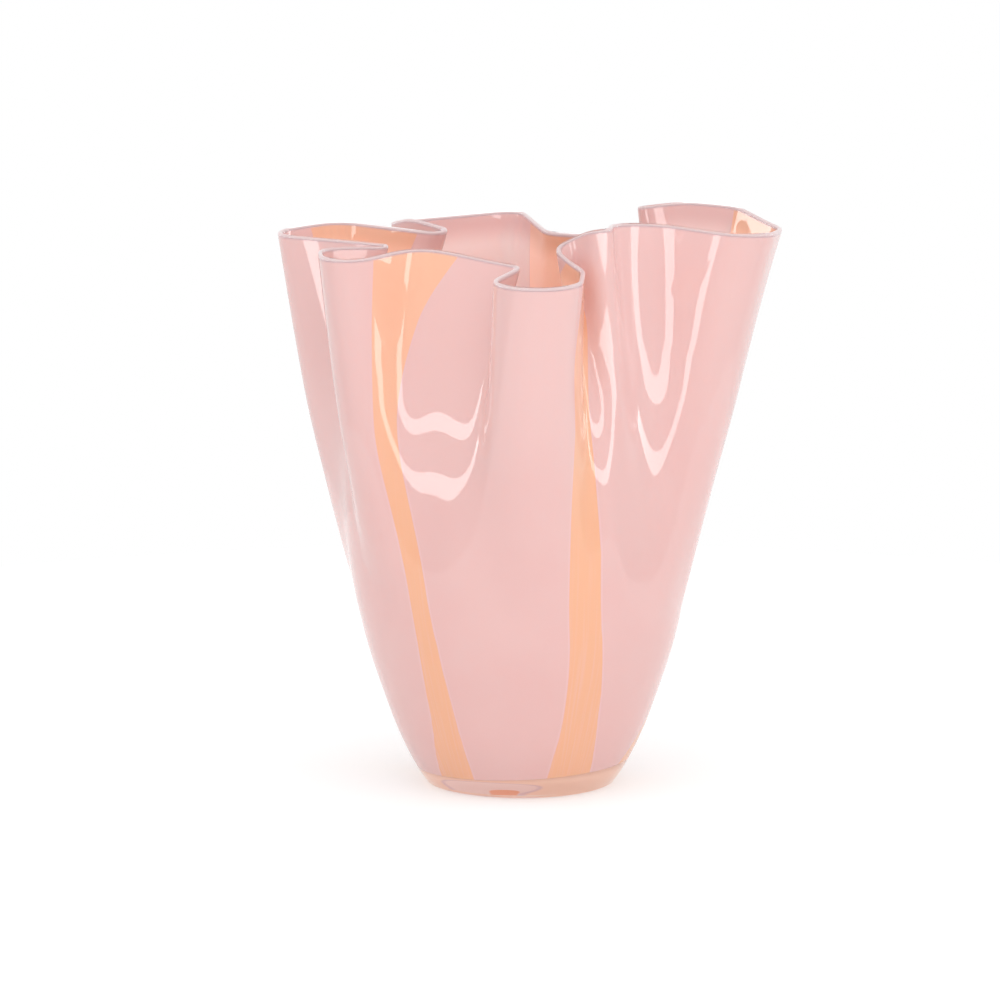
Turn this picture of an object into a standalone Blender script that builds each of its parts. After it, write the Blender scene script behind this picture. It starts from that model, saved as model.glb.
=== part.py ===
"""Handkerchief vase, blown as one piece of cased glass with a thick clear base.

The wall starts as a round bowl. Higher up it gathers into lobes and folds that deepen up to the
rim. Seen from above, the rim is a belt laid round pegs: a lobe runs round the outside of its peg,
a fold round the inside. Lower sections are the same belt, softened and drawn to a circle.
The front of the vase faces -Y, and it stands on z = 0. Lengths are in metres.
"""
import math
from typing import NamedTuple

import bpy
import numpy as np

MM = 0.001

# Glass thicknesses: the wall, the rim and the solid base
WALL = 3.0 * MM
LIP = 2.6 * MM
FLOOR = 11.0 * MM

# Share of the rim's height above which the wall thins to the lip
TAPER_START = 0.8

# Height of the rim's middle line, without its waves
RIM_HEIGHT = 247.5 * MM

# Width of the ring that the lobes are gathered on; pegs are placed in percent of half of it
RIM_WIDTH = 200.0 * MM

# Foot: a flat, polished disc, with the wall's middle just inside its edge
FOOT_RADIUS = 38.0 * MM
FOOT_INSET = 1.0 * MM

# Mean radii of the wall's middle, from the heel to the rim
HEEL_RADIUS = 46.8 * MM
BOWL_RADIUS = 58.9 * MM
BODY_RADIUS = 72.4 * MM
SHOULDER_RADIUS = 78.4 * MM
NECK_RADIUS = 81.5 * MM
MOUTH_RADIUS = 80.0 * MM

# The hollow's bottom: how far up its round corner reaches
BOWL_CORNER = 26.0 * MM

# How the bends grow: how fast they deepen, and how much they are softened at the rim and low down
GROWTH = 1.2
SOFTENING_BASE = 75.0 * MM
LOW_SOFTENING = 22.0 * MM
RIM_SOFTENING = 3.0 * MM
START_SOFTENING = 12.0 * MM

# Lean to the left, largest halfway up the folds
SWAY = 2.2 * MM

# Mesh density
AROUND = 204
FINE = 2048
BELT_STEPS = 64
LIP_STEPS = 3


class Bend(NamedTuple):
    """A peg that the rim runs round: its place, radius, turn and rise, and where the bend starts.

    turn is +1 for a lobe, where the rim turns left round the peg, and -1 for a fold. rise is how
    far the rim there stands above the rim's middle height, and start is the height on the wall at
    which the bend begins to show.
    """

    x: float
    y: float
    radius: float
    turn: int
    rise: float
    start: float


def lobe(x, y, radius, rise, start):
    """Outward bend, in percent of half the rim's width; its start in percent of its height."""
    unit = RIM_WIDTH / 2 / 100
    return Bend(x * unit, y * unit, radius * unit, 1, rise * unit, start / 100 * RIM_HEIGHT)


def fold(x, y, radius, rise, start):
    """Inward bend, given as a lobe is."""
    return lobe(x, y, radius, rise, start)._replace(turn=-1)


# The rim, round the vase from the front by the right and the back to the left
FRONT = (
    lobe(7.5, -92.5, 19.0, -4.2, 34),
    lobe(11.0, -71.0, 16.5, -2.7, 34),
    fold(21.0, -48.5, 5.0, 5.4, 58),
)
RIGHT = (
    lobe(34.5, -49.0, 5.0, 13.0, 38),
    fold(60.0, -37.5, 20.0, 10.7, 31),
    lobe(95.5, -13.0, 18.0, 7.3, 36),
    lobe(103.0, 4.5, 14.0, 4.9, 32),
    lobe(89.0, 32.0, 13.0, 9.1, 34),
    lobe(75.0, 39.0, 11.0, 9.9, 36),
    fold(61.5, 57.0, 7.5, 7.3, 50),
)
BACK = (
    lobe(62.0, 85.0, 13.0, -11.0, 34),
    fold(31.0, 53.0, 11.0, -3.9, 44),
    fold(23.0, 55.0, 12.0, -3.3, 44),
    lobe(-5.0, 104.0, 7.0, -3.3, 34),
    lobe(-48.5, 77.0, 10.0, -3.7, 34),
    lobe(-44.0, 62.0, 6.0, 0.7, 40),
    fold(-39.5, 36.0, 6.0, -0.5, 50),
)
LEFT = (
    lobe(-84.0, 52.0, 13.0, -1.5, 32),
    lobe(-93.5, 40.0, 16.0, -2.3, 32),
    fold(-63.5, -11.0, 4.0, -0.6, 54),
    lobe(-78.0, -26.0, 12.0, -1.0, 40),
    lobe(-75.0, -38.0, 14.0, -0.9, 36),
    fold(-44.0, -53.0, 17.0, 1.6, 34),
    fold(-6.0, -60.5, 5.2, -2.7, 45),
)
BENDS = FRONT + RIGHT + BACK + LEFT

# Mean radius of the wall's middle, by share of the rim's height
RADII = {
    0.0: FOOT_RADIUS - FOOT_INSET,
    0.04: HEEL_RADIUS,
    0.15: BOWL_RADIUS,
    0.34: BODY_RADIUS,
    0.56: SHOULDER_RADIUS,
    0.73: NECK_RADIUS,
    1.0: MOUTH_RADIUS,
}

# Heights of the wall's rings, as shares of the rim's height, and the turns of the hollow's corner
HEEL_LEVELS = (0.012, 0.04)
WALL_LEVELS = (0.15, 0.24, 0.33, 0.43, 0.53, 0.63, 0.725, 0.81, 0.885, 0.95, 1.0)
CORNER_TURNS = (0.30, 0.62, 0.85)

GLASS_COLOUR = (0.88, 0.52, 0.50, 1.0)


def clear_scene():
    """Remove every object in the open file."""
    for item in list(bpy.data.objects):
        bpy.data.objects.remove(item, do_unlink=True)


def smooth_curve(knots, values, at):
    """Cubic through values at rising knots, without overshoot beyond its neighbours."""
    step = np.diff(knots)
    rise = np.diff(values) / step
    slope = np.zeros(len(knots))
    for i in range(1, len(knots) - 1):
        if rise[i - 1] * rise[i] > 0:
            slope[i] = 2 * rise[i - 1] * rise[i] / (rise[i - 1] + rise[i])
    slope[0] = rise[0]
    slope[-1] = rise[-1]
    i = np.clip(np.searchsorted(knots, at, side="right") - 1, 0, len(step) - 1)
    t = (at - knots[i]) / step[i]
    value = (1 + 2 * t) * (1 - t) ** 2 * values[i] + t * (1 - t) ** 2 * step[i] * slope[i]
    return value + t * t * (3 - 2 * t) * values[i + 1] + t * t * (t - 1) * step[i] * slope[i + 1]


def heading_between(first, second):
    """Heading of the straight stretch of belt that leaves the first peg and meets the second."""
    across = second.x - first.x
    along = second.y - first.y
    offset = second.turn * second.radius - first.turn * first.radius
    return math.atan2(along, across) - math.asin(offset / math.hypot(across, along))


def touch_point(bend, heading):
    """Where a belt on this heading touches the peg, as a complex plan position."""
    return complex(bend.x, bend.y) - 1j * bend.turn * bend.radius * np.exp(1j * heading)


def belt():
    """The belt's plan points, the distance along it at each peg's middle, and its length."""
    headings = [heading_between(BENDS[i - 1], BENDS[i]) for i in range(len(BENDS))]
    points = []
    middles = []
    travelled = 0.0
    share = np.linspace(0, 1, BELT_STEPS, endpoint=False)
    for i, bend in enumerate(BENDS):
        leaving = headings[(i + 1) % len(BENDS)]
        sweep = bend.turn * (((leaving - headings[i]) * bend.turn) % math.tau)
        start = touch_point(bend, leaving)
        end = touch_point(BENDS[(i + 1) % len(BENDS)], leaving)
        points += [touch_point(bend, headings[i] + sweep * share), start + (end - start) * share]
        middles.append(travelled + abs(sweep) * bend.radius / 2)
        travelled += abs(sweep) * bend.radius + abs(end - start)
    return np.concatenate(points), np.array(middles), travelled


def soften(values, spread, length):
    """Smooth closed samples by a bell curve of this spread along the belt's length."""
    order = np.fft.fftfreq(len(values), 1 / len(values))
    keep = np.exp(-0.5 * (math.tau * order * spread / length) ** 2)
    return np.fft.ifft(np.fft.fft(values) * keep)


def round_the_belt(values, middles, length, at):
    """Smooth closed curve through one value at each peg's middle, read at places on the belt."""
    knots = np.concatenate([middles[-2:] - length, middles, middles[:2] + length])
    return smooth_curve(knots, np.concatenate([values[-2:], values, values[:2]]), at)


def chosen_stations(plan):
    """Places round the vase for the mesh: spread by length and by how much the rim turns."""
    step = np.roll(plan, -1) - plan
    turning = np.abs(np.angle(np.roll(step, -1) / step))
    weight = np.abs(step) / np.abs(step).sum() + turning / turning.sum()
    share = np.concatenate([[0.0], np.cumsum(weight)]) / weight.sum()
    wanted = np.arange(AROUND) / AROUND
    return np.unique(np.round(np.interp(wanted, share, np.arange(FINE + 1))).astype(int) % FINE)


class Wall:
    """The middle surface of the glass, from the heel to the rim."""

    def __init__(self):
        points, middles, self.length = belt()
        closed = np.append(points, points[0])
        travelled = np.concatenate([[0.0], np.cumsum(np.abs(np.diff(closed)))])
        travelled *= self.length / travelled[-1]
        even = np.arange(FINE) / FINE * self.length
        plan = np.interp(even, travelled, closed.real) + 1j * np.interp(even, travelled, closed.imag)
        plan = soften(plan, RIM_SOFTENING, self.length)
        rise = round_the_belt([bend.rise for bend in BENDS], middles, self.length, even)
        start = round_the_belt([bend.start for bend in BENDS], middles, self.length, even)
        self.rise = soften(rise, RIM_SOFTENING, self.length).real
        self.start = soften(start, START_SOFTENING, self.length).real
        self.waves = np.fft.fft(plan) / FINE
        self.order = np.fft.fftfreq(FINE, 1 / FINE)
        self.stations = chosen_stations(plan)

    def mean_radius(self, level):
        """Mean radius at a level; the square root of height rounds the heel."""
        roots = np.sqrt(np.array(list(RADII)))
        radii = np.array(list(RADII.values()))
        return smooth_curve(roots, radii, np.sqrt(np.array([max(level / RIM_HEIGHT, 0.0)])))[0]

    def section(self, level):
        """Closed section of the middle surface at a level, one point per fine station."""
        below = min(max((RIM_HEIGHT - level) / (RIM_HEIGHT - SOFTENING_BASE), 0.0), 1.0)
        share = np.clip((level - self.start) / (RIM_HEIGHT - self.start), 0.0, 1.0) ** GROWTH
        depth = np.abs(self.order - 1) * LOW_SOFTENING * below
        waves = self.waves * np.exp(-0.5 * (math.tau * depth / self.length) ** 2)
        first = self.waves[1]
        waves[1] = 0
        turn = np.exp(1j * math.tau * np.arange(FINE) / FINE)
        radius = self.mean_radius(level)
        radius = radius + (abs(first) - radius) * share
        plan = first / abs(first) * turn * radius + np.fft.ifft(waves * FINE) * share
        plan -= SWAY * 4 * below * (1 - below)
        return np.stack([plan.real, plan.imag, level + self.rise * share], axis=1)

    def ring(self, level, offset):
        """The chosen stations of a section, moved off the middle surface by an offset."""
        probe = 0.2 * MM
        upper = self.section(min(level + probe, RIM_HEIGHT))
        lower = self.section(level - probe)
        middle = self.section(level)
        along = np.roll(middle, -1, axis=0) - np.roll(middle, 1, axis=0)
        outward = np.cross(along, upper - lower)
        outward /= np.linalg.norm(outward, axis=1)[:, None]
        return (middle + outward * offset)[self.stations]

    def lip(self):
        """Rings over the rounded edge of the rim, from the outer face to the inner face."""
        outer = self.ring(RIM_HEIGHT, LIP / 2)
        inner = self.ring(RIM_HEIGHT, -LIP / 2)
        crown = (self.section(RIM_HEIGHT) - self.section(RIM_HEIGHT - WALL / 3))[self.stations]
        crown *= (LIP / 2) / np.linalg.norm(crown, axis=1)[:, None]
        centre = (outer + inner) / 2
        rings = []
        for k in range(LIP_STEPS + 1):
            angle = math.pi * k / LIP_STEPS
            rings.append(centre + (outer - centre) * math.cos(angle) + crown * math.sin(angle))
        return rings


def half_wall(level):
    """Half the wall's thickness, thinning to the lip near the rim."""
    share = min(max((level / RIM_HEIGHT - TAPER_START) / (1 - TAPER_START), 0.0), 1.0)
    return (WALL + (LIP - WALL) * share) / 2


def flat_ring(wall, radius, height):
    """Level circle whose points sit below the wall's stations."""
    ring = wall.section(HEEL_LEVELS[0] * RIM_HEIGHT)[wall.stations]
    ring *= radius / np.hypot(ring[:, 0], ring[:, 1])[:, None]
    ring[:, 2] = height
    return ring


def bowl_rings(wall):
    """Rings of the hollow's bottom, from the wall in to the floor's middle."""
    top = wall.ring(FLOOR + BOWL_CORNER, -WALL / 2)
    radius = np.hypot(top[:, 0], top[:, 1]).mean()
    rings = []
    for share in CORNER_TURNS:
        turn = share * math.pi / 2
        rings.append(flat_ring(wall, radius * math.cos(turn), FLOOR + BOWL_CORNER * (1 - math.sin(turn))))
    return rings


def vase_rings():
    """Every ring of the closed surface, from the foot over the rim to the hollow's floor."""
    wall = Wall()
    rings = [flat_ring(wall, FOOT_RADIUS, 0.0)]
    for share in HEEL_LEVELS + WALL_LEVELS[:-1]:
        rings.append(wall.ring(share * RIM_HEIGHT, half_wall(share * RIM_HEIGHT)))
    rings += wall.lip()
    for share in reversed(WALL_LEVELS[:-1]):
        if share * RIM_HEIGHT > FLOOR + BOWL_CORNER:
            rings.append(wall.ring(share * RIM_HEIGHT, -half_wall(share * RIM_HEIGHT)))
    rings += bowl_rings(wall)
    return rings


def ring_mesh(name, rings, first_pole, last_pole):
    """Closed mesh of stacked rings, with a point at each end."""
    count = len(rings[0])
    vertices = np.concatenate(rings + [[first_pole], [last_pole]])
    faces = []
    here = np.arange(count)
    there = (here + 1) % count
    for k in range(len(rings) - 1):
        low = k * count
        high = low + count
        faces += np.stack([low + here, low + there, high + there, high + here], axis=1).tolist()
    bottom = len(rings) * count
    last = (len(rings) - 1) * count
    faces += np.stack([here * 0 + bottom, there, here], axis=1).tolist()
    faces += np.stack([here * 0 + bottom + 1, last + here, last + there], axis=1).tolist()
    mesh = bpy.data.meshes.new(name)
    mesh.from_pydata(vertices.tolist(), [], faces)
    mesh.shade_smooth()
    mesh.set_sharp_from_angle(angle=math.radians(50))
    return mesh


def glass_material():
    """Pink opal glass under a clear skin."""
    material = bpy.data.materials.new("pink opal glass")
    material.use_nodes = True
    shader = material.node_tree.nodes["Principled BSDF"]
    shader.inputs["Base Color"].default_value = GLASS_COLOUR
    shader.inputs["Roughness"].default_value = 0.05
    shader.inputs["Metallic"].default_value = 0.0
    shader.inputs["IOR"].default_value = 1.5
    return material


def build_vase():
    """The whole vase as one blown piece."""
    mesh = ring_mesh("vase", vase_rings(), (0.0, 0.0, 0.0), (0.0, 0.0, FLOOR))
    vase = bpy.data.objects.new("vase", mesh)
    vase.data.materials.append(glass_material())
    bpy.context.scene.collection.objects.link(vase)
    return vase


clear_scene()
build_vase()
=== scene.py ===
"""Looks of the handkerchief vase: striped opal glass with a clear lip and a clear, thick base.

The opal body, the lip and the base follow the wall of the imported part: a belt laid round pegs at
the rim, drawn down to a round bowl. The front faces -Y and the foot stands on z = 0. Lengths are in
metres.
"""
from __future__ import annotations

import logging
import math
from dataclasses import dataclass, field
from typing import NamedTuple

import bpy
import numpy as np
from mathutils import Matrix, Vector


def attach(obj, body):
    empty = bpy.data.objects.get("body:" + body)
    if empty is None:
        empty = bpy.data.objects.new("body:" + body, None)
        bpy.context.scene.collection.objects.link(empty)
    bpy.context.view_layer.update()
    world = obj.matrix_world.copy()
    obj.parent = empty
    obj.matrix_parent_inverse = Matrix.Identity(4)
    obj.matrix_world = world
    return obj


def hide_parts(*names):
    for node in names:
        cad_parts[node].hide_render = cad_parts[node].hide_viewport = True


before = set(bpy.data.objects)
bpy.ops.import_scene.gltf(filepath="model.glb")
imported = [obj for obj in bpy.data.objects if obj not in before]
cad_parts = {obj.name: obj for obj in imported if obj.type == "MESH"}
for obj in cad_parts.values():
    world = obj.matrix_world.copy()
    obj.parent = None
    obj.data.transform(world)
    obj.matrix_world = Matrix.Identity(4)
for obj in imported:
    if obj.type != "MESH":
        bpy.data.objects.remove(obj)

MM = 0.001
log = logging.getLogger("vase")


class Bend(NamedTuple):
    """A peg that the rim runs round: its place, radius and turn, the rim's rise and the bend's start.

    turn is +1 for a lobe, where the rim turns left round the peg, and -1 for a fold. start is the
    height on the wall at which the bend begins to show.
    """

    x: float
    y: float
    radius: float
    turn: int
    rise: float
    start: float


RIM_HEIGHT = 247.5 * MM
RIM_WIDTH = 200.0 * MM


def lobe(x: float, y: float, radius: float, rise: float, start: float) -> Bend:
    """Outward bend, in percent of half the rim's width; its start in percent of its height."""
    unit = RIM_WIDTH / 2 / 100
    return Bend(x * unit, y * unit, radius * unit, 1, rise * unit, start / 100 * RIM_HEIGHT)


def fold(x: float, y: float, radius: float, rise: float, start: float) -> Bend:
    """Inward bend, given as a lobe is."""
    return lobe(x, y, radius, rise, start)._replace(turn=-1)


BENDS = (
    lobe(7.5, -92.5, 19.0, -4.2, 34),
    lobe(11.0, -71.0, 16.5, -2.7, 34),
    fold(21.0, -48.5, 5.0, 5.4, 58),
    lobe(34.5, -49.0, 5.0, 13.0, 38),
    fold(60.0, -37.5, 20.0, 10.7, 31),
    lobe(95.5, -13.0, 18.0, 7.3, 36),
    lobe(103.0, 4.5, 14.0, 4.9, 32),
    lobe(89.0, 32.0, 13.0, 9.1, 34),
    lobe(75.0, 39.0, 11.0, 9.9, 36),
    fold(61.5, 57.0, 7.5, 7.3, 50),
    lobe(62.0, 85.0, 13.0, -11.0, 34),
    fold(31.0, 53.0, 11.0, -3.9, 44),
    fold(23.0, 55.0, 12.0, -3.3, 44),
    lobe(-5.0, 104.0, 7.0, -3.3, 34),
    lobe(-48.5, 77.0, 10.0, -3.7, 34),
    lobe(-44.0, 62.0, 6.0, 0.7, 40),
    fold(-39.5, 36.0, 6.0, -0.5, 50),
    lobe(-84.0, 52.0, 13.0, -1.5, 32),
    lobe(-93.5, 40.0, 16.0, -2.3, 32),
    fold(-63.5, -11.0, 4.0, -0.6, 54),
    lobe(-78.0, -26.0, 12.0, -1.0, 40),
    lobe(-75.0, -38.0, 14.0, -0.9, 36),
    fold(-44.0, -53.0, 17.0, 1.6, 34),
    fold(-6.0, -60.5, 5.2, -2.7, 45),
)


def smooth_curve(knots: np.ndarray, values: np.ndarray, at: np.ndarray) -> np.ndarray:
    """Cubic through values at rising knots, without overshoot beyond its neighbours.

    Args:
        knots: rising places of the values.
        values: the value at each knot.
        at: places to read.

    Returns:
        The curve's value at each place.
    """
    step = np.diff(knots)
    rise = np.diff(values) / step
    slope = np.zeros(len(knots))
    falls = rise[:-1] * rise[1:]
    total = np.where(falls > 0, rise[:-1] + rise[1:], 1.0)
    slope[1:-1] = np.where(falls > 0, 2 * falls / total, 0.0)
    slope[0] = rise[0]
    slope[-1] = rise[-1]
    i = np.clip(np.searchsorted(knots, at, side="right") - 1, 0, len(step) - 1)
    t = (at - knots[i]) / step[i]
    value = (1 + 2 * t) * (1 - t) ** 2 * values[i] + t * (1 - t) ** 2 * step[i] * slope[i]
    return value + t * t * (3 - 2 * t) * values[i + 1] + t * t * (t - 1) * step[i] * slope[i + 1]


@dataclass
class BlownWall:
    """Middle surface of the blown wall, and the glass's thickness on it.

    Attributes:
        foot_radius: radius of the flat foot.
        radii: mean radius of the middle surface, by share of the rim's height.
        wall: thickness of the glass.
        lip: thickness at the rim.
        growth: how the bends deepen from their start to the rim.
        softening: how far bends are smoothed along the belt low on the wall.
        rim_softening: the same at the rim.
        start_softening: the same for the heights at which the bends start.
        sway: how far the wall leans to the left at half its folded height.
        fold_start: height at which the lowest bends begin.
        fine: samples round the belt.
        around: columns of the meshes.
        rows: heights at which the surface is computed.
    """

    foot_radius: float = 38.0 * MM
    radii: dict[float, float] = field(default_factory=lambda: {
        0.0: 37.0 * MM, 0.04: 46.8 * MM, 0.15: 58.9 * MM, 0.34: 72.4 * MM,
        0.56: 78.4 * MM, 0.73: 81.5 * MM, 1.0: 80.0 * MM})
    wall: float = 3.0 * MM
    lip: float = 2.2 * MM
    growth: float = 1.2
    softening: float = 22.0 * MM
    rim_softening: float = 3.0 * MM
    start_softening: float = 12.0 * MM
    sway: float = 2.2 * MM
    fold_start: float = 75.0 * MM
    fine: int = 2048
    around: int = 456
    rows: int = 330

    def __post_init__(self) -> None:
        """Lay the belt and compute the surface that the pieces read."""
        plan, heights, starts = self.rim_line()
        self.waves = np.fft.fft(plan) / self.fine
        self.order = np.fft.fftfreq(self.fine, 1 / self.fine)
        self.rise = heights
        self.starts = starts
        self.stations = self.chosen_stations(plan)
        self.share = self.stations / self.fine
        self.levels = np.linspace(0.0, RIM_HEIGHT, self.rows)
        full = np.stack([self.section(level) for level in self.levels])
        along = np.roll(full, -1, axis=1) - np.roll(full, 1, axis=1)
        up = np.gradient(full, axis=0)
        outward = np.cross(along, up)
        outward /= np.linalg.norm(outward, axis=2)[..., None]
        self.middle = full[:, self.stations]
        self.outward = outward[:, self.stations]

    def belt(self) -> tuple[np.ndarray, np.ndarray, float]:
        """The belt round the pegs.

        Returns:
            Its plan points, the distance along it at each peg's middle, and its length.
        """
        count = len(BENDS)
        headings = []
        for i, here in enumerate(BENDS):
            before = BENDS[i - 1]
            across, along = here.x - before.x, here.y - before.y
            offset = here.turn * here.radius - before.turn * before.radius
            headings.append(math.atan2(along, across) - math.asin(offset / math.hypot(across, along)))
        points, middles, travelled = [], [], 0.0
        for i, here in enumerate(BENDS):
            after = BENDS[(i + 1) % count]
            leaving = headings[(i + 1) % count]
            turn = here.turn * (((leaving - headings[i]) * here.turn) % math.tau)
            sweep = headings[i] + turn * np.linspace(0, 1, 64, endpoint=False)
            arc = complex(here.x, here.y) - 1j * here.turn * here.radius * np.exp(1j * sweep)
            aim = 1j * np.exp(1j * leaving)
            start = complex(here.x, here.y) - here.turn * here.radius * aim
            end = complex(after.x, after.y) - after.turn * after.radius * aim
            points += [arc, start + (end - start) * np.linspace(0, 1, 64, endpoint=False)]
            middles.append(travelled + abs(turn) * here.radius / 2)
            travelled += abs(turn) * here.radius + abs(end - start)
        return np.concatenate(points), np.array(middles), travelled

    def rim_line(self) -> tuple[np.ndarray, np.ndarray, np.ndarray]:
        """The rim, evenly spaced along the belt.

        Returns:
            Its plan points, its rise at each and the height at which the bends start there.
        """
        points, middles, self.length = self.belt()
        closed = np.append(points, points[0])
        travelled = np.concatenate([[0.0], np.cumsum(np.abs(np.diff(closed)))])
        travelled *= self.length / travelled[-1]
        even = np.arange(self.fine) / self.fine * self.length
        across = np.interp(even, travelled, closed.real)
        plan = across + 1j * np.interp(even, travelled, closed.imag)
        knots = np.concatenate([middles[-2:] - self.length, middles, middles[:2] + self.length])
        rises = np.array([bend.rise for bend in BENDS])
        starts = np.array([bend.start for bend in BENDS])
        height = smooth_curve(knots, np.concatenate([rises[-2:], rises, rises[:2]]), even)
        start = smooth_curve(knots, np.concatenate([starts[-2:], starts, starts[:2]]), even)
        spread = self.rim_softening
        start = self.soften(start, self.start_softening).real
        return self.soften(plan, spread), self.soften(height, spread).real, start

    def soften(self, values: np.ndarray, spread: float) -> np.ndarray:
        """Closed samples smoothed by a bell curve of this spread along the belt."""
        turns = math.tau * np.fft.fftfreq(len(values), 1 / len(values)) / self.length
        return np.fft.ifft(np.fft.fft(values) * np.exp(-0.5 * (turns * spread) ** 2))

    def chosen_stations(self, plan: np.ndarray) -> np.ndarray:
        """Columns of the meshes: spread by length and by how much the rim turns.

        Args:
            plan: the rim's plan points.

        Returns:
            The fine sample that each column stands on.
        """
        step = np.roll(plan, -1) - plan
        turning = np.abs(np.angle(np.roll(step, -1) / step))
        weight = np.abs(step) / np.abs(step).sum() + 0.8 * turning / turning.sum()
        share = np.concatenate([[0.0], np.cumsum(weight)]) / weight.sum()
        wanted = np.arange(self.around) / self.around
        place = np.interp(wanted, share, np.arange(self.fine + 1))
        return np.unique(np.round(place).astype(int) % self.fine)

    def mean_radius(self, level: float) -> float:
        """Mean radius of the middle surface; the square root of height rounds the heel.

        Args:
            level: height on the wall.

        Returns:
            The radius there.
        """
        roots = np.sqrt(np.array(list(self.radii)))
        radii = np.array(list(self.radii.values()))
        return float(smooth_curve(roots, radii, np.sqrt(np.array([level / RIM_HEIGHT])))[0])

    def section(self, level: float) -> np.ndarray:
        """Closed section of the middle surface, one point per fine sample.

        The rim's waves, smoothed more the lower the level is, are added to a circle of the mean
        radius. At each sample they grow from nothing at the bend's start to their full depth at
        the rim.

        Args:
            level: height on the wall.

        Returns:
            The section's points.
        """
        below = min(max((RIM_HEIGHT - level) / (RIM_HEIGHT - self.fold_start), 0.0), 1.0)
        share = np.clip((level - self.starts) / (RIM_HEIGHT - self.starts), 0, 1) ** self.growth
        depth = np.abs(self.order - 1) * self.softening * below
        waves = self.waves * np.exp(-0.5 * (math.tau * depth / self.length) ** 2)
        first = self.waves[1]
        waves[1] = 0
        turn = np.exp(1j * math.tau * np.arange(self.fine) / self.fine)
        radius = self.mean_radius(level)
        radius = radius + (abs(first) - radius) * share
        plan = first / abs(first) * turn * radius + np.fft.ifft(waves * self.fine) * share
        plan -= self.sway * 4 * below * (1 - below)
        return np.stack([plan.real, plan.imag, level + self.rise * share], axis=1)

    def half_wall(self, levels: np.ndarray) -> np.ndarray:
        """Half the glass's thickness, thinning to the lip over the top fifth."""
        share = np.clip((levels / RIM_HEIGHT - 0.8) / 0.2, 0.0, 1.0)
        return (self.wall + (self.lip - self.wall) * share) / 2

    def at(self, levels: np.ndarray, offset: np.ndarray | float) -> np.ndarray:
        """Points of the wall at given levels, moved off its middle.

        Args:
            levels: rows of levels, one for each column.
            offset: distance outwards, one for each point or for all.

        Returns:
            Rows of points.
        """
        place = np.clip(levels / RIM_HEIGHT * (self.rows - 1), 0, self.rows - 1.001)
        row = place.astype(int)
        part = (place - row)[..., None]
        column = np.arange(len(self.stations))[None, :]
        middle = self.middle[row, column] * (1 - part) + self.middle[row + 1, column] * part
        outward = self.outward[row, column] * (1 - part) + self.outward[row + 1, column] * part
        return middle + outward * np.broadcast_to(offset, levels.shape)[..., None]

    def level_rows(self, low: np.ndarray | float, high: np.ndarray | float, count: int) -> np.ndarray:
        """Rows of levels between two levels, evenly spaced for each column.

        Args:
            low: the first row's level, one for each column or for all.
            high: the last row's.
            count: how many rows.

        Returns:
            The rows.
        """
        columns = len(self.stations)
        low = np.broadcast_to(low, columns)
        high = np.broadcast_to(high, columns)
        return low + (high - low) * np.linspace(0, 1, count)[:, None]

    def creased_rows(self, low: np.ndarray | float, high: np.ndarray | float, count: int) -> np.ndarray:
        """Rows of levels with a close pair at each end, which keeps the corners there sharp.

        Args:
            low: the first row's level, one for each column or for all.
            high: the last row's.
            count: how many rows.

        Returns:
            The rows.
        """
        rows = self.level_rows(low, high, count - 2)
        close = 0.05 * MM
        return np.concatenate([rows[:1], rows[:1] + close, rows[1:-1], rows[-1:] - close, rows[-1:]])

    def crown(self, half: float) -> np.ndarray:
        """Direction in which the wall runs out at the rim, of this length, for each column."""
        rise = self.middle[-1] - self.middle[-2]
        return rise * half / np.linalg.norm(rise, axis=1)[:, None]

    def rounded_edge(self, level: float, half: float, steps: int) -> np.ndarray:
        """Half-round edge from the outer to the inner face.

        Args:
            level: where the half-round begins.
            half: its radius.
            steps: rows between its two ends.

        Returns:
            Rows of points, without the two ends.
        """
        levels = np.full((1, len(self.stations)), level)
        centre = self.at(levels, 0.0)
        reach = self.at(levels, half) - centre
        angle = (math.pi * np.arange(1, steps + 1) / (steps + 1))[:, None, None]
        return centre + reach * np.cos(angle) + self.crown(half)[None] * np.sin(angle)


@dataclass
class RingMesh:
    """Closed mesh of stacked rings.

    Attributes:
        name: the piece's name.
        rings: rows of ring points.
        poles: the points that close both ends; None joins the last ring to the first.
    """

    name: str
    rings: np.ndarray
    poles: tuple[tuple[float, float, float], tuple[float, float, float]] | None = None

    def build(self, facts: dict[str, np.ndarray]) -> bpy.types.Object:
        """Make the mesh and its object.

        Args:
            facts: value at each ring point, by attribute name.

        Returns:
            The new object, linked to the scene.
        """
        rows, columns, _ = self.rings.shape
        points = self.rings.reshape(-1, 3)
        index = np.arange(rows * columns).reshape(rows, columns)
        low = index if self.poles is None else index[:-1]
        high = np.roll(index, -1, axis=0) if self.poles is None else index[1:]
        quads = np.stack([low, np.roll(low, -1, 1), np.roll(high, -1, 1), high], axis=-1)
        faces = quads.reshape(-1, 4).tolist()
        if self.poles is not None:
            points = np.concatenate([points, self.poles])
            pole = np.full(columns, rows * columns)
            first = np.stack([pole, np.roll(index[0], -1), index[0]], axis=1)
            last = np.stack([pole + 1, index[-1], np.roll(index[-1], -1)], axis=1)
            faces += first.tolist() + last.tolist()
        mesh = bpy.data.meshes.new(self.name)
        mesh.from_pydata(points, [], faces)
        for name, values in facts.items():
            spare = 0 if self.poles is None else 2
            flat = np.concatenate([values.ravel(), np.zeros(spare)]).astype(np.float32)
            if spare:
                flat[-2] = values[0].mean()
                flat[-1] = values[-1].mean()
            layer = mesh.attributes.new(name, "FLOAT", "POINT")
            layer.data.foreach_set("value", flat)
        mesh.shade_smooth()
        item = bpy.data.objects.new(self.name, mesh)
        bpy.context.scene.collection.objects.link(item)
        log.info("%s: %d points", self.name, len(points))
        return item


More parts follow.
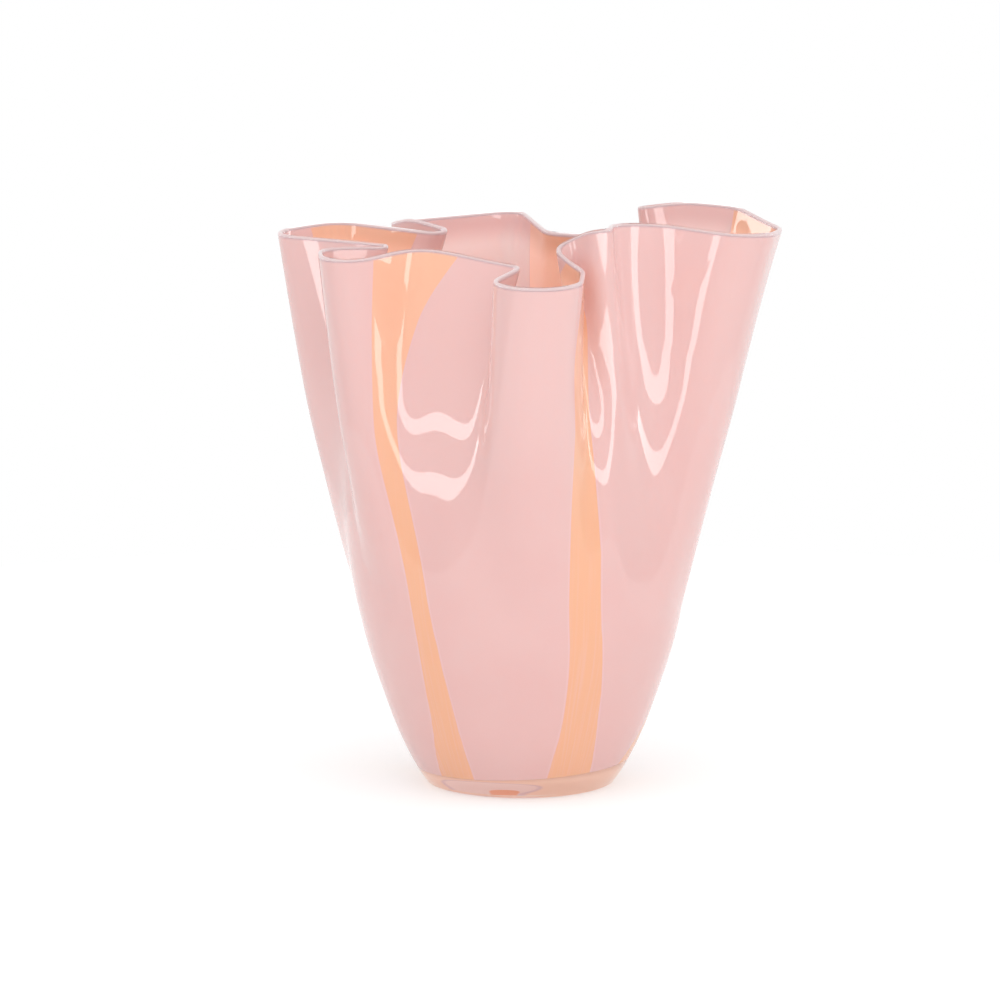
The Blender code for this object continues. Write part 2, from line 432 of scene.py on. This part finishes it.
class Wire:
    """Output of a node that can be calculated with.

    Args:
        graph: the node tree that it belongs to.
        socket: the output socket.
    """

    def __init__(self, graph: Graph, socket: bpy.types.NodeSocket) -> None:
        self.graph = graph
        self.socket = socket

    def maths(self, operation: str, *others: Wire | float) -> Wire:
        """Result of a Math node on this and other values."""
        inputs = dict(enumerate((self, *others)))
        return self.graph.wire("ShaderNodeMath", 0, {"operation": operation}, inputs)

    def __add__(self, other: Wire | float) -> Wire:
        """Sum."""
        return self.maths("ADD", other)

    def __radd__(self, other: float) -> Wire:
        """Sum."""
        return self.maths("ADD", other)

    def __sub__(self, other: Wire | float) -> Wire:
        """Difference."""
        return self.maths("SUBTRACT", other)

    def __rsub__(self, other: float) -> Wire:
        """Difference from a number."""
        return self.maths("MULTIPLY_ADD", -1.0, other)

    def __mul__(self, other: Wire | float) -> Wire:
        """Product."""
        return self.maths("MULTIPLY", other)

    def __rmul__(self, other: float) -> Wire:
        """Product."""
        return self.maths("MULTIPLY", other)

    def __truediv__(self, other: Wire | float) -> Wire:
        """Quotient."""
        return self.maths("DIVIDE", other)

    def __abs__(self) -> Wire:
        """Size without sign."""
        return self.maths("ABSOLUTE")

    def ramp(self, low: float, high: float) -> Wire:
        """Smooth step from 0 to 1.

        Args:
            low: where it is still 0.
            high: where it is 1; below low, the step falls instead of rising.

        Returns:
            The step's value.
        """
        ends = (0.0, 1.0) if low < high else (1.0, 0.0)
        inputs = {"Value": self, "From Min": min(low, high), "From Max": max(low, high),
                  "To Min": ends[0], "To Max": ends[1]}
        settings = {"interpolation_type": "SMOOTHSTEP"}
        return self.graph.wire("ShaderNodeMapRange", "Result", settings, inputs)

    def band(self, low: float, high: float, soft: float) -> Wire:
        """1 between low and high, and 0 outside, with soft edges."""
        return self.ramp(low - soft, low + soft) * self.ramp(high + soft, high - soft)


class Graph:
    """Node tree that is being built.

    Args:
        tree: the tree of a material or a world, which is emptied first.
    """

    def __init__(self, tree: bpy.types.NodeTree) -> None:
        tree.nodes.clear()
        self.tree = tree

    def add(self, kind: str, settings: dict[str, object] | None = None,
            inputs: dict[str | int, object] | None = None) -> bpy.types.Node:
        """Add a node.

        Args:
            kind: Blender's type name of the node.
            settings: the node's own properties.
            inputs: a wire or a value for each input, by name or place.

        Returns:
            The new node.
        """
        node = self.tree.nodes.new(kind)
        for name, value in (settings or {}).items():
            setattr(node, name, value)
        for key, value in (inputs or {}).items():
            if isinstance(value, Wire):
                self.tree.links.new(value.socket, node.inputs[key])
            else:
                node.inputs[key].default_value = value
        return node

    def wire(self, kind: str, output: str | int, settings: dict[str, object] | None = None,
             inputs: dict[str | int, object] | None = None) -> Wire:
        """One output of a new node."""
        return Wire(self, self.add(kind, settings, inputs).outputs[output])

    def fact(self, name: str) -> Wire:
        """A mesh attribute."""
        return self.wire("ShaderNodeAttribute", "Fac", {"attribute_name": name})

    def mix(self, share: Wire | float, first: object, second: object) -> Wire:
        """Colour between two colours."""
        return self.wire("ShaderNodeMix", 2, {"data_type": "RGBA"}, {0: share, 6: first, 7: second})

    def vector(self, *parts: Wire | float) -> Wire:
        """Vector of three numbers."""
        return self.wire("ShaderNodeCombineXYZ", 0, None, dict(enumerate(parts)))

    def distance(self, place: Wire, point: tuple[float, float, float]) -> Wire:
        """Distance of a place from a fixed point."""
        inputs = {0: place, 1: point}
        return self.wire("ShaderNodeVectorMath", "Value", {"operation": "DISTANCE"}, inputs)

    def noise(self, place: Wire, scale: float, detail: float = 2.0) -> Wire:
        """Noise from 0 to 1 with its middle near 0.5."""
        inputs = {"Vector": place, "Scale": scale, "Detail": detail}
        return self.wire("ShaderNodeTexNoise", 0, None, inputs)


Colour = tuple[float, float, float, float]
BLACK: Colour = (0.0, 0.0, 0.0, 1.0)
WHITE: Colour = (1.0, 1.0, 1.0, 1.0)


@dataclass(frozen=True)
class OpalGlass:
    """Pink opal glass with peach stripes, glossy through its clear casing.

    Attributes:
        pink: main colour.
        deep_pink: colour of the denser clouds in it.
        peach: colour of the stripes.
        pale_peach: colour where a stripe is thin.
        border: pale line along each stripe.
        high_pink: main colour near the rim, paler than lower down.
        high_peach: colour of the stripes there.
        lip_painted_highlight: pale colour painted on the colour inside the top of the clear lip, a
            painted highlight standing in for the bright line along the bead.
        mauve: colour of the rim's edge, and of the line round the disc under the base.
        inner_pink_painted_light: colour of the inner face, painted paler as painted light standing in
            for light that reaches it through the wall.
        inner_peach_painted_light: the same on a stripe.
        through: colour of a painted glow, emitted by the stripes on the inner face in place of light
            that comes through the thin stripes.
        heel_peach: colour of the underside, seen through the clear base.
        heel_pink: colour of the disc in it.
        heel_dot: colour of the spot in that.
        disc: the disc's middle.
        disc_radius: its radius.
        dot: the spot's middle.
        dot_radius: its radius.
        roughness: of the polished surface.
        depth: how far light spreads in the glass.
        stripe_edge: half the width of a stripe's soft edge.
        wander: how far the streaks move that edge.
        low_wander: how much more they do low on the wall.
        border_line: where the pale line lies, measured outwards from the stripe as negative.
        low_levels: heights between which the streaks fade upwards.
        paling_levels: heights between which the colour turns paler upwards.
        line_width: half the width of the line round the disc.
    """

    pink: Colour = (0.755, 0.480, 0.458, 1.0)
    deep_pink: Colour = (0.750, 0.455, 0.435, 1.0)
    peach: Colour = (0.830, 0.440, 0.275, 1.0)
    pale_peach: Colour = (0.815, 0.470, 0.365, 1.0)
    high_pink: Colour = (0.785, 0.522, 0.502, 1.0)
    high_peach: Colour = (0.880, 0.510, 0.360, 1.0)
    border: Colour = (0.780, 0.510, 0.530, 1.0)
    lip_painted_highlight: Colour = (0.995, 0.800, 0.800, 1.0)
    mauve: Colour = (0.720, 0.455, 0.490, 1.0)
    inner_pink_painted_light: Colour = (0.970, 0.760, 0.735, 1.0)
    inner_peach_painted_light: Colour = (0.980, 0.660, 0.500, 1.0)
    through: Colour = (0.130, 0.050, 0.040, 1.0)
    heel_peach: Colour = (0.950, 0.605, 0.475, 1.0)
    heel_pink: Colour = (0.925, 0.640, 0.590, 1.0)
    heel_dot: Colour = (0.910, 0.395, 0.255, 1.0)
    disc: tuple[float, float, float] = (-11.5 * MM, -18.5 * MM, 9.0 * MM)
    disc_radius: float = 18.5 * MM
    dot: tuple[float, float, float] = (-5.2 * MM, -7.0 * MM, 8.0 * MM)
    dot_radius: float = 5.4 * MM
    roughness: float = 0.012
    depth: float = 4.0 * MM
    stripe_edge: float = 0.25 * MM
    wander: float = 0.2 * MM
    low_wander: float = 0.9 * MM
    border_line: tuple[float, float] = (-0.8 * MM, -0.1 * MM)
    low_levels: tuple[float, float] = (150.0 * MM, 30.0 * MM)
    paling_levels: tuple[float, float] = (100.0 * MM, 230.0 * MM)
    line_width: float = 0.9 * MM

    def material(self) -> bpy.types.Material:
        """The finish, driven by the piece's own attributes.

        stripe says how far inside a stripe a point lies, ring_x and ring_y where it is round the
        girth and level how high. under, inner, lip and cased mark the underside, the inner face,
        the colour in the lip and what lies under clear glass.

        Returns:
            The material.
        """
        material = bpy.data.materials.new("opal_glass")
        material.use_nodes = True
        graph = Graph(material.node_tree)
        inside = graph.fact("stripe")
        ring = (graph.fact("ring_x"), graph.fact("ring_y"))
        level = graph.fact("level")
        place = graph.wire("ShaderNodeTexCoord", "Object")
        cloud = graph.noise(place, 28.0, 3.0).ramp(0.35, 0.7)
        drawn = graph.vector(ring[0] * 75.0, ring[1] * 75.0, level * 22.0)
        streak = graph.noise(drawn, 1.0, 4.0)
        low = level.ramp(*self.low_levels)
        # The colour turns paler towards the rim.
        high = level.ramp(*self.paling_levels) * 0.8
        edge = inside + (streak - 0.5) * (self.low_wander * low + self.wander)
        stripe = edge.ramp(-self.stripe_edge, self.stripe_edge)
        line = edge.band(*self.border_line, self.stripe_edge) * 0.6
        # Painted light: the inner face takes paler colours and a glow on its stripes, standing in for
        # light that comes through the translucent wall.
        inner = graph.fact("inner") * level.ramp(RIM_HEIGHT - 3.0 * MM, RIM_HEIGHT - 15.0 * MM)
        pink = graph.mix(cloud * 0.6, self.pink, self.deep_pink)
        pink = graph.mix(high, pink, self.high_pink)
        pink = graph.mix(inner, pink, self.inner_pink_painted_light)
        thin = streak.ramp(0.45, 0.75) * (0.2 + 0.45 * low)
        peach = graph.mix(thin, self.peach, self.pale_peach)
        peach = graph.mix(high, peach, self.high_peach)
        peach = graph.mix(inner, peach, self.inner_peach_painted_light)
        colour = graph.mix(stripe, graph.mix(line, pink, self.border), peach)
        colour = graph.mix(graph.fact("under"), colour, self.underside(graph, place))
        lip = graph.fact("lip")
        top = level.ramp(RIM_HEIGHT - 1.3 * MM, RIM_HEIGHT - 0.7 * MM)
        colour = graph.mix(top * 0.35, colour, self.mauve)
        # Painted highlight: the colour inside the top of the clear lip is made pale, standing in for the
        # bright line along the bead.
        colour = graph.mix(lip.ramp(0.0, 0.3), colour, self.lip_painted_highlight)
        colour = graph.mix(lip.ramp(0.5, 0.8) * 0.45, colour, self.mauve)
        ripple = graph.noise(graph.vector(ring[0] * 4.0, ring[1] * 4.0, level * 24.0), 1.0, 1.0)
        inputs = {"Strength": 0.2, "Distance": 0.1 * MM, "Height": ripple}
        bump = graph.wire("ShaderNodeBump", 0, None, inputs)
        # Painted light: the stripes on the inner face glow.
        glow = graph.mix(inner * stripe, BLACK, self.through)
        inputs = {"Base Color": colour, "Normal": bump, "Roughness": self.roughness, "IOR": 1.5,
                  "Emission Color": glow, "Emission Strength": 1.0,
                  "Subsurface Weight": 0.25, "Subsurface Scale": self.depth,
                  "Subsurface Radius": (1.0, 0.6, 0.5)}
        polished = graph.wire("ShaderNodeBsdfPrincipled", 0, None, inputs)
        inputs = {"Base Color": colour, "Roughness": 0.6, "Specular IOR Level": 0.0}
        cased = graph.wire("ShaderNodeBsdfPrincipled", 0, None, inputs)
        inputs = {0: graph.fact("cased"), 1: polished, 2: cased}
        mixed = graph.wire("ShaderNodeMixShader", 0, None, inputs)
        graph.add("ShaderNodeOutputMaterial", None, {"Surface": mixed})
        # The painted glow is too faint to be sampled as a lamp, which only makes the render slower.
        material.cycles.emission_sampling = "NONE"
        return material

    def underside(self, graph: Graph, place: Wire) -> Wire:
        """Colour of the underside: a pale disc with a mauve line round it and a spot in it.

        Args:
            graph: the tree that it belongs to.
            place: Object coordinates.

        Returns:
            The colour.
        """
        line = self.line_width
        from_disc = graph.distance(place, self.disc)
        from_dot = graph.distance(place, self.dot)
        disc = from_disc.ramp(self.disc_radius + line, self.disc_radius - line)
        colour = graph.mix(disc, self.heel_peach, self.heel_pink)
        ring = from_disc.band(self.disc_radius - line, self.disc_radius + line, line)
        colour = graph.mix(ring * 0.7, colour, self.mauve)
        dot = from_dot.ramp(self.dot_radius, self.dot_radius - line)
        return graph.mix(dot, colour, self.heel_dot)


@dataclass(frozen=True)
class ClearGlass:
    """Clear casing glass.

    Attributes:
        name: the material's name.
        tint: the glass's own colour.
        roughness: of its polish.
        ior: index of refraction; a lower one keeps a thin bead from looking grey.
    """

    name: str
    tint: Colour = (1.000, 0.990, 0.990, 1.0)
    roughness: float = 0.01
    ior: float = 1.5

    def material(self) -> bpy.types.Material:
        """The finish, with a faint wave left by the blowing.

        Returns:
            The material.
        """
        material = bpy.data.materials.new(self.name)
        material.use_nodes = True
        graph = Graph(material.node_tree)
        place = graph.wire("ShaderNodeTexCoord", "Object")
        wave = graph.noise(place, 60.0, 1.0)
        inputs = {"Strength": 0.2, "Distance": 0.2 * MM, "Height": wave}
        bump = graph.wire("ShaderNodeBump", 0, None, inputs)
        inputs = {"Base Color": self.tint, "Roughness": self.roughness, "IOR": self.ior,
                  "Transmission Weight": 1.0, "Normal": bump}
        shader = graph.wire("ShaderNodeBsdfPrincipled", 0, None, inputs)
        graph.add("ShaderNodeOutputMaterial", None, {"Surface": shader})
        return material


class Stripe(NamedTuple):
    """Peach stripe: its middle and width at each stripe level, in percent of the way round."""

    middle: tuple[float, ...]
    width: tuple[float, ...]


STRIPE_LEVELS = (10.0 * MM, 40.0 * MM, 97.0 * MM, 173.0 * MM, 215.0 * MM, RIM_HEIGHT)
STRIPES = (
    Stripe((92.3, 92.8, 92.4, 90.7, 91.3, 92.3), (6.2, 3.5, 2.0, 1.6, 2.6, 4.2)),
    Stripe((9.9, 9.8, 8.9, 8.7, 9.0, 8.2), (7.1, 4.6, 3.3, 3.4, 5.9, 3.2)),
    Stripe((23.5, 27.0, 28.0, 28.0, 28.0, 27.9), (8.6, 4.2, 3.0, 3.0, 3.4, 3.9)),
    Stripe((45.0, 46.0, 47.0, 48.5, 49.2, 49.4), (6.0, 4.0, 3.0, 3.2, 3.9, 4.8)),
    Stripe((70.0, 70.0, 70.0, 70.0, 70.2, 70.2), (6.0, 4.0, 2.6, 2.8, 4.5, 6.1)),
)


@dataclass
class Heel:
    """Where the colour ends above the clear base.

    Attributes:
        line: height of the colour's edge on the axis.
        tilt: how much that height grows per metre to the right.
        droop: how far the colour's underside hangs below its edge in the middle.
        corner: height of the hollow's rounded bottom corner.
        floor: height of the hollow's floor.
    """

    line: float = 11.0 * MM
    tilt: float = 0.045
    droop: float = 3.0 * MM
    corner: float = 26.0 * MM
    floor: float = 11.0 * MM

    def edge_levels(self, wall: BlownWall) -> np.ndarray:
        """Level of the colour's edge for each column."""
        across = wall.at(np.full((1, len(wall.stations)), self.line), 0.0)[0, :, 0]
        return self.line + self.tilt * across

    def underside(self, wall: BlownWall, count: int, above: float) -> np.ndarray:
        """Rings of the colour's underside, from near its middle out to its edge.

        The underside is a shallow bowl: its height grows with the square of the share of the way
        out from the middle.

        Args:
            wall: the blown wall.
            count: how many rings.
            above: how far above the underside they lie.

        Returns:
            The rings.
        """
        levels = self.edge_levels(wall)[None]
        edge = wall.at(levels, wall.half_wall(levels))[0]
        edge[:, 2] += above
        share = np.append(np.arange(1, count) / count, 0.998)[:, None, None]
        rings = edge[None] * share
        middle_height = self.line - self.droop + above
        rings[..., 2] = middle_height + (edge[None, :, 2] - middle_height) * share[..., 0] ** 2
        return rings


@dataclass
class OpalBody:
    """Coloured body of the vase: the whole wall between the clear base and the clear lip.

    Attributes:
        wall: the blown wall.
        heel: where the colour ends low down.
        lip_depth: how far below the rim the clear lip begins.
        core: half the thickness of the colour inside the lip.
        core_depth: how far below the rim the colour ends.
        rows: mesh rows up each face.
        under_rows: mesh rows under the bottom.
        core_rows: mesh rows up each face inside the lip.
        tip_rows: mesh rows over the colour's rounded edge there.
        bowl_rows: mesh rows down the hollow's bottom.
        bowl_turn: shares of its quarter round at which they begin and end.
    """

    wall: BlownWall
    heel: Heel
    lip_depth: float = 0.5 * MM
    core: float = 0.85 * MM
    core_depth: float = 0.3 * MM
    rows: int = 84
    under_rows: int = 24
    core_rows: int = 3
    tip_rows: int = 5
    bowl_rows: int = 14
    bowl_turn: tuple[float, float] = (0.08, 0.97)

    def stripe_depth(self, levels: np.ndarray, share: np.ndarray) -> np.ndarray:
        """How far inside the nearest stripe each point lies, and negative outside.

        Each stripe's middle and width follow a smooth curve through its values at the stripe
        levels. The depth is half the width less the distance from the middle, both in
        metres along the girth there.

        Args:
            levels: level of each point.
            share: its share of the way round.

        Returns:
            The depths.
        """
        knots = np.array(STRIPE_LEVELS)
        girth = self.girth(levels)
        best = np.full(levels.shape, -1.0)
        for stripe in STRIPES:
            middle = smooth_curve(knots, np.array(stripe.middle), np.clip(levels, knots[0], knots[-1]))
            width = smooth_curve(knots, np.array(stripe.width), np.clip(levels, knots[0], knots[-1]))
            away = np.abs((share - middle / 100 + 0.5) % 1.0 - 0.5)
            best = np.maximum(best, (width / 200 - away) * girth)
        return best

    def girth(self, levels: np.ndarray) -> np.ndarray:
        """Length of the wall's section at each level."""
        steps = np.roll(self.wall.middle, -1, axis=1) - self.wall.middle
        return np.interp(levels, self.wall.levels, np.linalg.norm(steps, axis=2).sum(axis=1))

    def rings(self) -> tuple[np.ndarray, np.ndarray]:
        """The closed body: under the bottom, up the outer face, over the rim and down the inner face.

        Returns:
            Its rings, and the level of each of their points.
        """
        wall = self.wall
        edge = self.heel.edge_levels(wall)
        under = self.heel.underside(wall, self.under_rows, 0.0)
        shoulder = RIM_HEIGHT - self.lip_depth
        top = RIM_HEIGHT - self.core_depth
        rise = wall.creased_rows(edge, shoulder, self.rows)
        core = wall.level_rows(shoulder + 0.05 * MM, top, self.core_rows)
        inner_low = self.heel.floor + self.heel.corner
        fall = wall.creased_rows(inner_low, shoulder, self.rows)[::-1]
        parts = [under, wall.at(rise, wall.half_wall(rise)), wall.at(core, self.core),
                 wall.rounded_edge(top, self.core, self.tip_rows), wall.at(core[::-1], -self.core),
                 wall.at(fall, -wall.half_wall(fall))]
        top_rows = np.full((self.tip_rows, len(wall.stations)), top)
        levels = [np.broadcast_to(edge, under.shape[:2]), rise, core, top_rows, core[::-1], fall]
        bowl = self.bowl()
        parts.append(bowl)
        levels.append(bowl[..., 2])
        return np.concatenate(parts), np.concatenate(levels)

    def bowl(self) -> np.ndarray:
        """The hollow's bottom: a quarter round from the wall in to the floor.

        Returns:
            Its rings.
        """
        wall = self.wall
        low = np.full((1, len(wall.stations)), self.heel.floor + self.heel.corner)
        start = wall.at(low, -wall.half_wall(low))[0]
        turn = (np.linspace(*self.bowl_turn, self.bowl_rows) * math.pi / 2)[:, None]
        flat = start[None, :, :2] * np.cos(turn)[..., None]
        height = self.heel.floor + (start[None, :, 2] - self.heel.floor) * (1 - np.sin(turn))
        return np.concatenate([flat, height[..., None]], axis=2)

    def build(self, finish: OpalGlass) -> bpy.types.Object:
        """Make the body and dress it.

        Args:
            finish: the opal glass.

        Returns:
            The body's object.
        """
        rings, levels = self.rings()
        share = np.broadcast_to(self.wall.share, levels.shape)
        row = np.arange(len(rings))[:, None] + 0 * levels
        first_lip_row = self.under_rows + self.rows
        lip_rows = 2 * self.core_rows + self.tip_rows
        across = np.clip((row - first_lip_row + 0.5) / lip_rows, 0.0, 1.0)
        under = row < self.under_rows
        in_lip = (across > 0.0) & (across < 1.0)
        facts = {"stripe": self.stripe_depth(levels, share), "level": levels,
                 "ring_x": np.cos(math.tau * share), "ring_y": np.sin(math.tau * share),
                 "under": under * 1.0, "cased": (under | in_lip) * 1.0, "inner": (across > 0.5) * 1.0,
                 "lip": in_lip * (1.0 - 0.6 * np.sin(math.pi * across) ** 2)}
        poles = ((0.0, 0.0, self.heel.line - self.heel.droop), (0.0, 0.0, self.heel.floor))
        item = RingMesh("opal_body", rings, poles).build(facts)
        item.data.materials.append(finish.material())
        return item


@dataclass
class ClearLip:
    """Bead of clear casing glass along the rim.

    Attributes:
        body: the coloured body that it crowns.
        root: how far it reaches into the colour.
        steps: mesh rows over the bead.
    """

    body: OpalBody
    root: float = 0.3 * MM
    steps: int = 9

    def build(self, finish: ClearGlass) -> bpy.types.Object:
        """Make the bead and dress it.

        Args:
            finish: the clear glass.

        Returns:
            The bead's object.
        """
        wall = self.body.wall
        low = RIM_HEIGHT - self.body.lip_depth
        rise = wall.level_rows(low, RIM_HEIGHT, 4)
        half = wall.half_wall(rise)
        root = wall.level_rows(low - self.root, low, 1)
        narrow = self.body.core - self.root
        bead = wall.rounded_edge(RIM_HEIGHT, wall.lip / 2, self.steps)
        rings = np.concatenate([wall.at(root, narrow), wall.at(rise, half), bead,
                                wall.at(rise[::-1], -half[::-1]), wall.at(root, -narrow)])
        item = RingMesh("clear_lip", rings).build({})
        item.data.materials.append(finish.material())
        return item


@dataclass
class ClearBase:
    """Thick base of clear casing glass under the colour.

    Attributes:
        body: the coloured body that it carries.
        root: how far it reaches into the colour.
        side_start: height at which the rounded edge of the foot meets the side.
        side_rows: mesh rows up the side, and under the colour.
        foot_rows: mesh rows over the foot.
        edge_rows: mesh rows over its rounded edge.
    """

    body: OpalBody
    root: float = 0.4 * MM
    side_start: float = 0.012 * RIM_HEIGHT
    side_rows: int = 12
    foot_rows: int = 10
    edge_rows: int = 4

    def build(self, finish: ClearGlass) -> bpy.types.Object:
        """Make the base and dress it.

        Args:
            finish: the clear glass.

        Returns:
            The base's object.
        """
        wall = self.body.wall
        heel = self.body.heel
        edge = heel.edge_levels(wall)
        rise = wall.creased_rows(self.side_start, edge, self.side_rows)
        side = wall.at(rise, wall.half_wall(rise))
        direction = side[0] / np.hypot(side[0, :, 0], side[0, :, 1])[:, None]
        reach = wall.foot_radius * np.linspace(0.1, 1.0, self.foot_rows)
        foot = direction[None] * reach[:, None, None]
        foot[..., 2] = 0.0
        turn = (np.linspace(0.2, 0.8, self.edge_rows) * math.pi / 2)[:, None, None]
        heel_round = foot[-1] + (side[0] - foot[-1]) * np.stack(
            [np.sin(turn), np.sin(turn), 1 - np.cos(turn)], axis=-1)[:, :, 0]
        under = heel.underside(wall, self.side_rows, self.root)[::-1]
        rings = np.concatenate([foot, heel_round, side, under])
        poles = ((0.0, 0.0, 0.0), (0.0, 0.0, heel.line - heel.droop + self.root))
        item = RingMesh("clear_base", rings, poles).build({})
        item.data.materials.append(finish.material())
        return item


@dataclass
class Studio:
    """Pale floor, soft light and the camera.

    Attributes:
        aim: point in the middle of the picture.
        distance: from the camera to that point.
        elevation: of the camera, in degrees.
        lens: focal length in millimetres for a 36 mm sensor.
        fill: brightness of the soft light that falls on matt surfaces.
        key: the plan direction that it is brightest from.
        frontal: how much brighter it is from there, as a share.
        overhead: how much brighter it is from above.
        room: brightness, in reflections, of the dim front of the room.
        sky: brightness of the rest.
        softbox: brightness of the large soft light above the front.
        bars: lowest and highest elevation, in degrees, of each light bar in front.
        bar_light: brightness of the bars.
        bar_reach: how far round they reach each way, in degrees.
        bar_edge: half the width of their soft edges, in degrees.
        front_sides: how far round, in degrees, the front of the room fades out.
        front_top: elevations, in degrees, between which it fades upwards.
        softbox_foot: elevations, in degrees, between which the soft light begins.
        horizon: elevation where the bright table ends, seen from the aim, in degrees.
        table_sides: sides of the table's outline.
        table_gap: how far its top lies under the foot.
        table_light: strength at which the table glows to the eye.
        table_share: share of that in its colour to the eye and in reflections.
        table_through: the same through clear glass.
        table_matt: colour that takes the shadow.
    """

    aim: tuple[float, float, float] = (-9.3 * MM, 0.0, 129.5 * MM)
    distance: float = 4.2
    elevation: float = 10.3
    lens: float = 334.15
    fill: float = 0.84
    key: tuple[float, float] = (0.25, -0.97)
    frontal: float = 0.55
    overhead: float = 0.9
    room: float = 0.5
    sky: float = 1.0
    softbox: float = 1.9
    bars: tuple[tuple[float, float], ...] = ((-1.2, 1.3), (8.4, 11.6))
    bar_light: float = 5.0
    bar_reach: float = 140.0
    bar_edge: float = 0.12
    front_sides: tuple[float, float] = (125.0, 100.0)
    front_top: tuple[float, float] = (42.0, 34.0)
    softbox_foot: tuple[float, float] = (38.0, 44.0)
    horizon: float = -12.5
    table_sides: int = 160
    table_gap: float = 0.1 * MM
    table_light: float = 1.4
    table_share: float = 0.3
    table_through: float = 0.95
    table_matt: Colour = (0.86, 0.86, 0.86, 1.0)

    def add_camera(self) -> None:
        """Place the camera."""
        tilt = math.radians(self.elevation)
        back = Vector((0.0, -math.cos(tilt), math.sin(tilt)))
        data = bpy.data.cameras.new("camera")
        data.lens = self.lens
        data.sensor_width = 36.0
        data.clip_end = 50.0
        camera = bpy.data.objects.new("camera", data)
        camera.location = Vector(self.aim) + back * self.distance
        camera.rotation_euler = (math.radians(90.0) - tilt, 0.0, 0.0)
        bpy.context.scene.collection.objects.link(camera)
        bpy.context.scene.camera = camera

    def add_world(self) -> None:
        """Soft light from all round, and what reflections show: sky, a dim front and light bars."""
        world = bpy.data.worlds.new("studio")
        bpy.context.scene.world = world
        world.use_nodes = True
        graph = Graph(world.node_tree)
        direction = graph.wire("ShaderNodeTexCoord", "Generated")
        parts = graph.add("ShaderNodeSeparateXYZ", None, {0: direction})
        x, y, z = (Wire(graph, parts.outputs[i]) for i in range(3))
        up = z.maths("ARCSINE") * (180 / math.pi)
        side = x.maths("ARCTAN2", y * -1.0) * (180 / math.pi)
        ahead = abs(side).ramp(*self.front_sides)
        front = ahead * up.ramp(*self.front_top)
        above = ahead * up.ramp(*self.softbox_foot)
        bars = 0.0
        for low, high in self.bars:
            bars = up.band(low, high, self.bar_edge) + bars
        lit = bars * abs(side).ramp(self.bar_reach + 0.5, self.bar_reach - 0.5)
        value = front * (self.room - self.sky) + above * (self.softbox - self.sky) + self.sky
        value = value + lit * self.bar_light
        rays = graph.add("ShaderNodeLightPath")
        seen = Wire(graph, rays.outputs["Is Camera Ray"])
        seen = seen.maths("MAXIMUM", Wire(graph, rays.outputs["Is Transmission Ray"]))
        rising = z.maths("MAXIMUM", 0.0)
        toward = x * (self.key[0] * self.frontal) + y * (self.key[1] * self.frontal)
        soft = (toward + rising * rising * self.overhead + 1.0) * self.fill
        value = soft + Wire(graph, rays.outputs["Is Glossy Ray"]) * (value - soft)
        value = value + seen * (1.0 - value)
        background = graph.wire("ShaderNodeBackground", 0, None, {"Color": WHITE, "Strength": value})
        graph.add("ShaderNodeOutputWorld", None, {"Surface": background})

    def add_floor(self) -> bpy.types.Object:
        """Round white table top, bright to the eye and keeping the vase's shadow.

        Returns:
            Its object.
        """
        radius = self.aim[2] / math.tan(math.radians(-self.horizon))
        turn = math.tau * np.arange(self.table_sides) / self.table_sides
        rim = np.stack([np.cos(turn) * radius, np.sin(turn) * radius, 0 * turn - self.table_gap], axis=1)
        mesh = bpy.data.meshes.new("floor")
        mesh.from_pydata(rim, [], [list(range(self.table_sides))])
        floor = bpy.data.objects.new("floor", mesh)
        bpy.context.scene.collection.objects.link(floor)
        material = bpy.data.materials.new("white_table")
        material.use_nodes = True
        graph = Graph(material.node_tree)
        rays = graph.add("ShaderNodeLightPath")
        seen = Wire(graph, rays.outputs["Is Camera Ray"])
        seen = seen.maths("MAXIMUM", Wire(graph, rays.outputs["Is Glossy Ray"])) * self.table_share
        through = Wire(graph, rays.outputs["Is Transmission Ray"]) * self.table_through
        matt = graph.wire("ShaderNodeBsdfDiffuse", 0, None, {"Color": self.table_matt})
        inputs = {"Color": WHITE, "Strength": self.table_light}
        white = graph.wire("ShaderNodeEmission", 0, None, inputs)
        inputs = {0: seen.maths("MAXIMUM", through), 1: matt, 2: white}
        mixed = graph.wire("ShaderNodeMixShader", 0, None, inputs)
        graph.add("ShaderNodeOutputMaterial", None, {"Surface": mixed})
        mesh.materials.append(material)
        return floor


def main() -> None:
    """Build and dress the vase, then the studio round it."""
    logging.basicConfig(level=logging.INFO, format="%(name)s %(message)s")
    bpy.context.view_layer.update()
    bpy.context.scene.view_settings.view_transform = "Standard"
    wall = BlownWall()
    body = OpalBody(wall, Heel())
    pieces = [
        body.build(OpalGlass()),
        ClearLip(body).build(ClearGlass("clear_lip_glass", ior=1.25)),
        ClearBase(body).build(ClearGlass("clear_base_glass")),
    ]
    for piece in pieces:
        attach(piece, "root")
        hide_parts("vase")
    studio = Studio()
    studio.add_floor()
    studio.add_world()
    studio.add_camera()


if __name__ == "__main__":
    main()
